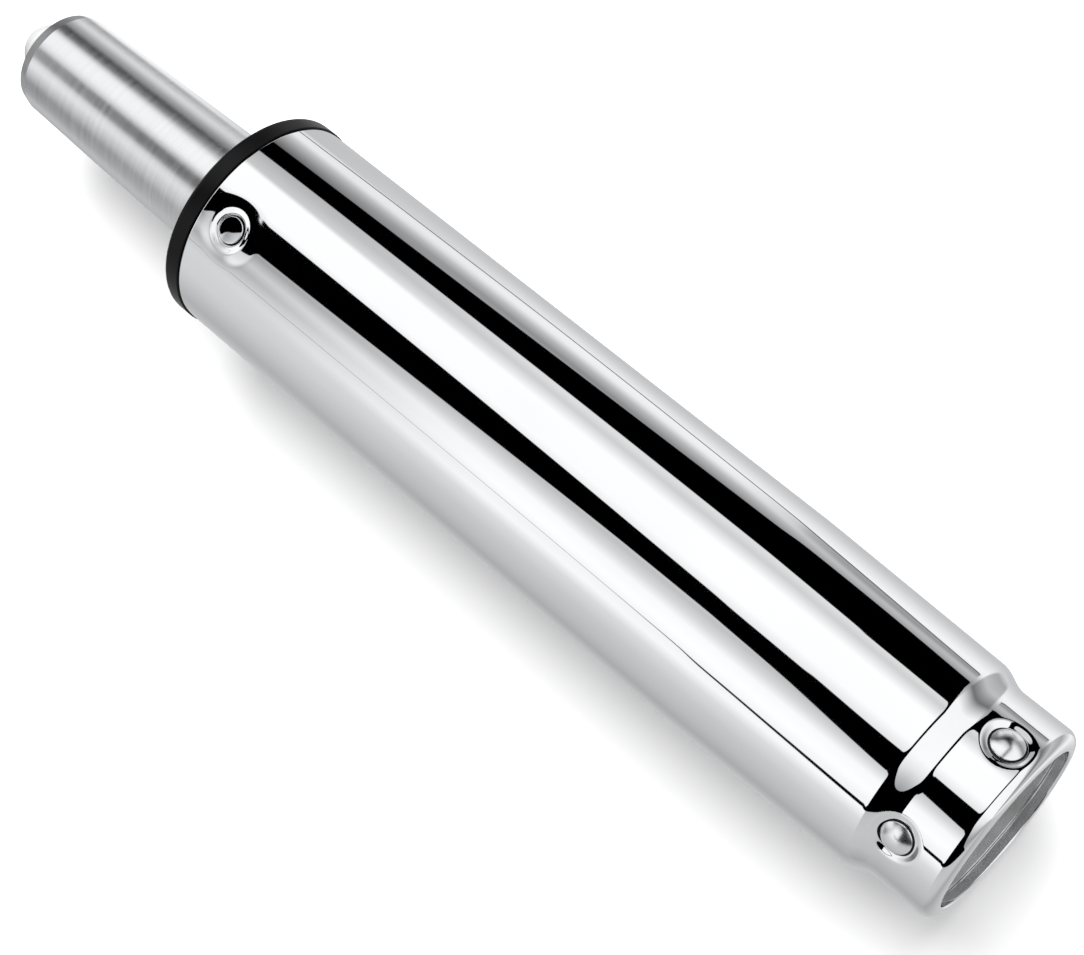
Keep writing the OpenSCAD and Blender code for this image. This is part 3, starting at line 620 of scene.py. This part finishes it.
HIGH_SHADES = [
    (-180, "#c0c0c1"), (-160, "#bdbdbe"), (-132, "#afafb0"), (-117, "#bbbbbc"), (-107, "#c4c4c5"),
    (-92, "#cfcfd0"), (-66, "#d2d2d3"), (-58, "#c8c8c9"), (-48, "#acacad"), (-39, "#c4c4c5"),
    (-28, "#9a9a9b"), (2, "#ececec"), (8, "#fdfdfd"), (36, "#ffffff"), (40, "#c8c8c8"),
    (56, "#b0b0b1"), (76, "#646465"), (84, "#909091"), (94, "#bebebf"), (102, "#eaeaea"),
    (112, "#e6e6e6"), (118, "#bebebf"), (180, "#c0c0c1")]
SPRING_SHADES = [
    (-180, "#9c9c9d"), (-150, "#b4b4b5"), (-134, "#c2c2c3"), (-110, "#949496"), (-88, "#6c6c6e"),
    (-68, "#b8b8b9"), (-46, "#f4f4f5"), (-30, "#cacacb"), (-10, "#f0f0f1"), (10, "#ffffff"),
    (36, "#ffffff"), (46, "#b0b0b1"), (78, "#b0b0b1"), (97, "#fafafa"), (110, "#d8d8d9"),
    (127, "#7c7c7d"), (139, "#ffffff"), (168, "#ffffff"), (180, "#9c9c9d")]
# Over the gas spring: white where the upper rivet's collar looks, darker where the chamfer round
# the tip does, then a dark grey, and a white ceiling
CHAMFER_SHADES = [
    (-180, "#98989a"), (-85, "#98989a"), (-60, "#f6f6f6"), (40, "#f6f6f6"), (62, "#848486"),
    (180, "#9c9c9e")]
CROWN_SHADES = [(-180, "#68686a"), (180, "#68686a")]
CEILING_SHADES = [(-180, "#f6f6f6"), (180, "#f6f6f6")]
# Each with the elevations between which it takes over from the one before
SHADE_BANDS = [
    (GROUND_SHADES, None), (LOW_SHADES, (-8.0, -4.0)), (HIGH_SHADES, (22.0, 33.0)),
    (SPRING_SHADES, (32.8, 36.0)), (CHAMFER_SHADES, (42.0, 45.0)), (CROWN_SHADES, (56.0, 59.0)),
    (CEILING_SHADES, (76.0, 80.0))]
ROOM_STRENGTH = 1.12


def studio():
    """World: the camera, and what shows through, see white. Metal and plastic see the studio that
    the column stands in, whose softboxes are as white as that background, with black flags and
    dark gaps between them."""
    world = bpy.data.worlds.new("studio")
    bpy.context.scene.world = world
    world.use_nodes = True
    tree = world.node_tree
    tree.nodes.clear()
    towards = add(tree, "ShaderNodeTexCoord").outputs["Generated"]
    x, y, z = add(tree, "ShaderNodeSeparateXYZ", (towards,)).outputs
    front = add(tree, MATH, (y, -1.0), operation="MULTIPLY")
    bearing = add(tree, MATH, (x, front), operation="ARCTAN2")
    azimuth = add(tree, MATH, (bearing,), operation="DEGREES")
    rise = add(tree, MATH, (z,), operation="ARCSINE")
    elevation = add(tree, MATH, (rise,), operation="DEGREES")
    height = add(tree, "ShaderNodeMapRange", (elevation, -90.0, 90.0, 0.0, 1.0))
    turn = add(tree, "ShaderNodeMapRange", (azimuth, -180.0, 180.0, 0.0, 1.0))

    def side(table):
        """A panel's side: a smooth curve through the azimuths at the elevations of the table."""
        node = add(tree, "ShaderNodeFloatCurve", (1.0, height))
        points = node.mapping.curves[0].points
        places = [((e + 90) / 180, (a + 180) / 360) for e, a in table]
        for place in places[1:-1]:
            points.new(*place)
        for point, place in zip(points, places):
            point.location = place
            point.handle_type = "AUTO_CLAMPED"
        node.mapping.update()
        return add(tree, MATH, (node, 360.0, -180.0), operation="MULTIPLY_ADD")

    def panel(left, right, low, high, corner=(3.0, 3.0), soft=0.8):
        """Share of light from a softbox. Past each side, azimuth and elevation are counted in
        corner sizes, so the rounded outline is where the length of both, each less than nothing
        left out, is one corner. The edge is soft over so many degrees."""
        past_left = add(tree, MATH, (left, azimuth), operation="SUBTRACT")
        past_right = add(tree, MATH, (azimuth, right), operation="SUBTRACT")
        past_low = add(tree, MATH, (low, elevation), operation="SUBTRACT")
        past_high = add(tree, MATH, (elevation, high), operation="SUBTRACT")
        squares = []
        for ends, size in zip(((past_left, past_right), (past_low, past_high)), corner):
            past = add(tree, MATH, ends, operation="MAXIMUM")
            counted = add(tree, MATH, (past, 1 / size, 1.0), operation="MULTIPLY_ADD")
            left_in = add(tree, MATH, (counted, 0.0), operation="MAXIMUM")
            squares.append(add(tree, MATH, (left_in, 2.0), operation="POWER"))
        far = add(tree, MATH, (add(tree, MATH, squares, operation="ADD"),), operation="SQRT")
        edge = soft / 2 / corner[0]
        return add(tree, "ShaderNodeMapRange", (far, 1 + edge, 1 - edge, 0.0, 1.0),
                   interpolation_type="SMOOTHSTEP")

    left_line, left_gap, flag_1_left, flag_1_right = (
        side(table) for table in (LEFT_LINE, LEFT_GAP, FLAG_1_LEFT, FLAG_1_RIGHT))
    flag_2_left, flag_2_right, right_line, ground_left = (
        side(table) for table in (FLAG_2_LEFT, FLAG_2_RIGHT, RIGHT_LINE, GROUND_LEFT))
    past_left_line = add(tree, MATH, (left_line, left_gap), operation="ADD")
    past_right_line = add(tree, MATH, (right_line, RIGHT_GAP), operation="ADD")
    # The ground's far edge climbs to the right, in degrees of azimuth and then of elevation
    ground_top = add(tree, "ShaderNodeMapRange", (azimuth, 48.0, 80.0, -13.0, 4.0))
    softboxes = [
        # To the left line, and on to the first flag
        panel(LEFTMOST, left_line, LOWEST, FLAGS_TOP),
        panel(past_left_line, flag_1_left, -2.0, FLAGS_TOP, (4.0, 5.0)),
        # Between the flags: wide round corners at the foot, nearly square over them
        panel(flag_1_right, flag_2_left, -4.5, 20.0, (11.0, 16.0)),
        panel(flag_1_right, flag_2_left, 10.0, FLAGS_TOP, (5.0, 0.5)),
        # From the right line on, and the ground
        panel(past_right_line, RIGHTMOST, LOWEST, FLAGS_TOP),
        panel(ground_left, RIGHTMOST, LOWEST, ground_top, (8.0, 4.0)),
        # Over the flags: the left of it lower, for the collar of the upper rivet
        panel(LEFTMOST, 45.0, 43.5, HIGHEST, (12.0, 3.0)),
        panel(LEFTMOST, RIGHTMOST, FLAGS_TOP, HIGHEST)]
    # The softbox between the second flag and the right line, with less light at its lower right
    sliver = panel(flag_2_right, right_line, -16.0, FLAGS_TOP)
    shaded, taken = panel(101.0, 200.0, -30.0, 15.5, (8.0, 6.0), 8.0), 0.6
    kept = add(tree, MATH, (shaded, -taken, 1.0), operation="MULTIPLY_ADD")
    light = add(tree, MATH, (sliver, kept), operation="MULTIPLY")
    for softbox in softboxes:
        light = add(tree, MATH, (light, softbox), operation="MAXIMUM")

    for table, blend in SHADE_BANDS:
        tone = add(tree, "ShaderNodeValToRGB", (turn,))
        fill(tone.color_ramp, [((degrees + 180) / 360, code) for degrees, code in table])
        if blend is None:
            shade = tone
            continue
        over = add(tree, "ShaderNodeMapRange", (elevation, *blend, 0.0, 1.0),
                   interpolation_type="SMOOTHSTEP")
        shade = add(tree, "ShaderNodeMixRGB", (over, shade, tone))
    lit = add(tree, "ShaderNodeMixRGB", (light, BLACK, shade))
    room = add(tree, "ShaderNodeBackground", (lit, ROOM_STRENGTH))
    white = add(tree, "ShaderNodeBackground", (WHITE, 1.0))
    path = add(tree, "ShaderNodeLightPath").outputs
    seen = path["Is Camera Ray"], path["Is Transmission Ray"]
    plain = add(tree, MATH, seen, operation="MAXIMUM")
    add(tree, "ShaderNodeOutputWorld", (add(tree, "ShaderNodeMixShader", (plain, room, white)),))


# Floor and backdrop: their side in millimetres, their paper and its glow, which together are as
# white as the background, and how many metres from the centre they begin to fade and are gone
SHEET_SIZE = 1000
PAPER, GLOW = "#ececec", 0.12
FADE_FROM, FADE_TO = 0.19, 0.34


def sheet_of_stage(name, centre, side, up):
    """A flat sheet for a shadow to fall on, as white as the background where none falls. It shows
    only to the camera and from its front, so that it never hides the object, and it fades out
    away from its centre."""
    corners = np.array([(-1, -1), (1, -1), (1, 1), (-1, 1)]) * SHEET_SIZE / 2
    points = np.array(centre) + corners[:, :1] * np.array(side) + corners[:, 1:] * np.array(up)
    mesh = bpy.data.meshes.new(name)
    mesh.from_pydata((points * MM).tolist(), [], [(0, 1, 2, 3)])
    sheet = bpy.data.objects.new(name, mesh)
    bpy.context.scene.collection.objects.link(sheet)
    material = bpy.data.materials.new(name + "_paper")
    material.use_nodes = True
    tree = material.node_tree
    tree.nodes.clear()
    paper = add(tree, "ShaderNodeBsdfDiffuse", (colour(PAPER),))
    glow = add(tree, "ShaderNodeEmission", (WHITE, GLOW))
    both = add(tree, "ShaderNodeAddShader", (paper, glow))
    gone = add(tree, "ShaderNodeBsdfTransparent")
    back = add(tree, "ShaderNodeNewGeometry").outputs["Backfacing"]
    place = add(tree, "ShaderNodeTexCoord").outputs["Object"]
    middle = tuple(np.array(centre) * MM)
    away = add(tree, "ShaderNodeVectorMath", (place, middle), operation="DISTANCE")
    faded = add(tree, "ShaderNodeMapRange", (away.outputs["Value"], FADE_FROM, FADE_TO, 0.0, 1.0),
                interpolation_type="SMOOTHSTEP")
    unseen = add(tree, MATH, (back, faded), operation="MAXIMUM")
    mixed = add(tree, "ShaderNodeMixShader", (unseen, both, gone))
    add(tree, "ShaderNodeOutputMaterial", (mixed,))
    mesh.materials.append(material)
    for ray in ("diffuse", "glossy", "transmission", "volume_scatter", "shadow"):
        setattr(sheet, "visible_" + ray, False)


studio()
# The floor's centre is in front of the column, so that it has faded out behind the backdrop
sheet_of_stage("floor", (0, -180, -0.5), (1, 0, 0), (0, 1, 0))
sheet_of_stage("backdrop", (0, 26.5, 140), (1, 0, 0), (0, 0, 1))

# Lamp: a large round softbox in front, to the right and above, in metres and watts. It gives the
# shadow and lights what isn't metal, and metal doesn't mirror it.
LAMP_AT, LAMP_AIM = (0.38, -0.75, 0.31), (0, 0, 0.14)
LAMP_SIZE, LAMP_POWER = 1.0, 15.0
lamp_data = bpy.data.lights.new("softbox", "AREA")
lamp_data.shape = "DISK"
lamp_data.size = LAMP_SIZE
lamp_data.energy = LAMP_POWER
lamp = bpy.data.objects.new("softbox", lamp_data)
bpy.context.scene.collection.objects.link(lamp)
lamp.location = LAMP_AT
lamp.rotation_mode = "QUATERNION"
lamp.rotation_quaternion = (lamp.location - Vector(LAMP_AIM)).to_track_quat("Z", "Y")
lamp.visible_glossy = False

# Camera: below and in front of the column, looking up and rolled, so that the column lies across
# the picture. Its place is in millimetres, and its focal length in pixels of the photo.
CAMERA_AT = (0.0, -414.27, -49.67)
CAMERA_RIGHT = (0.6319, 0.2923, -0.7178)
CAMERA_DOWN = (-0.7750, 0.2276, -0.5896)
CAMERA_FORWARD = (-0.0090, 0.9288, 0.3704)
FOCAL = 2190.0
PHOTO_WIDTH = 1084
SENSOR = 36.0
NEAREST, FARTHEST = 0.01, 20.0

camera_data = bpy.data.cameras.new("camera")
camera_data.sensor_width = SENSOR
camera_data.lens = SENSOR * FOCAL / PHOTO_WIDTH
camera_data.clip_start, camera_data.clip_end = NEAREST, FARTHEST
camera = bpy.data.objects.new("camera", camera_data)
bpy.context.scene.collection.objects.link(camera)
axes = np.stack([CAMERA_RIGHT, -np.array(CAMERA_DOWN), -np.array(CAMERA_FORWARD)], -1)
camera.matrix_world = (
    Matrix.Translation(np.array(CAMERA_AT) * MM) @ Matrix(axes.tolist()).to_4x4())
bpy.context.scene.camera = camera

bpy.context.scene.view_settings.view_transform = "Standard"
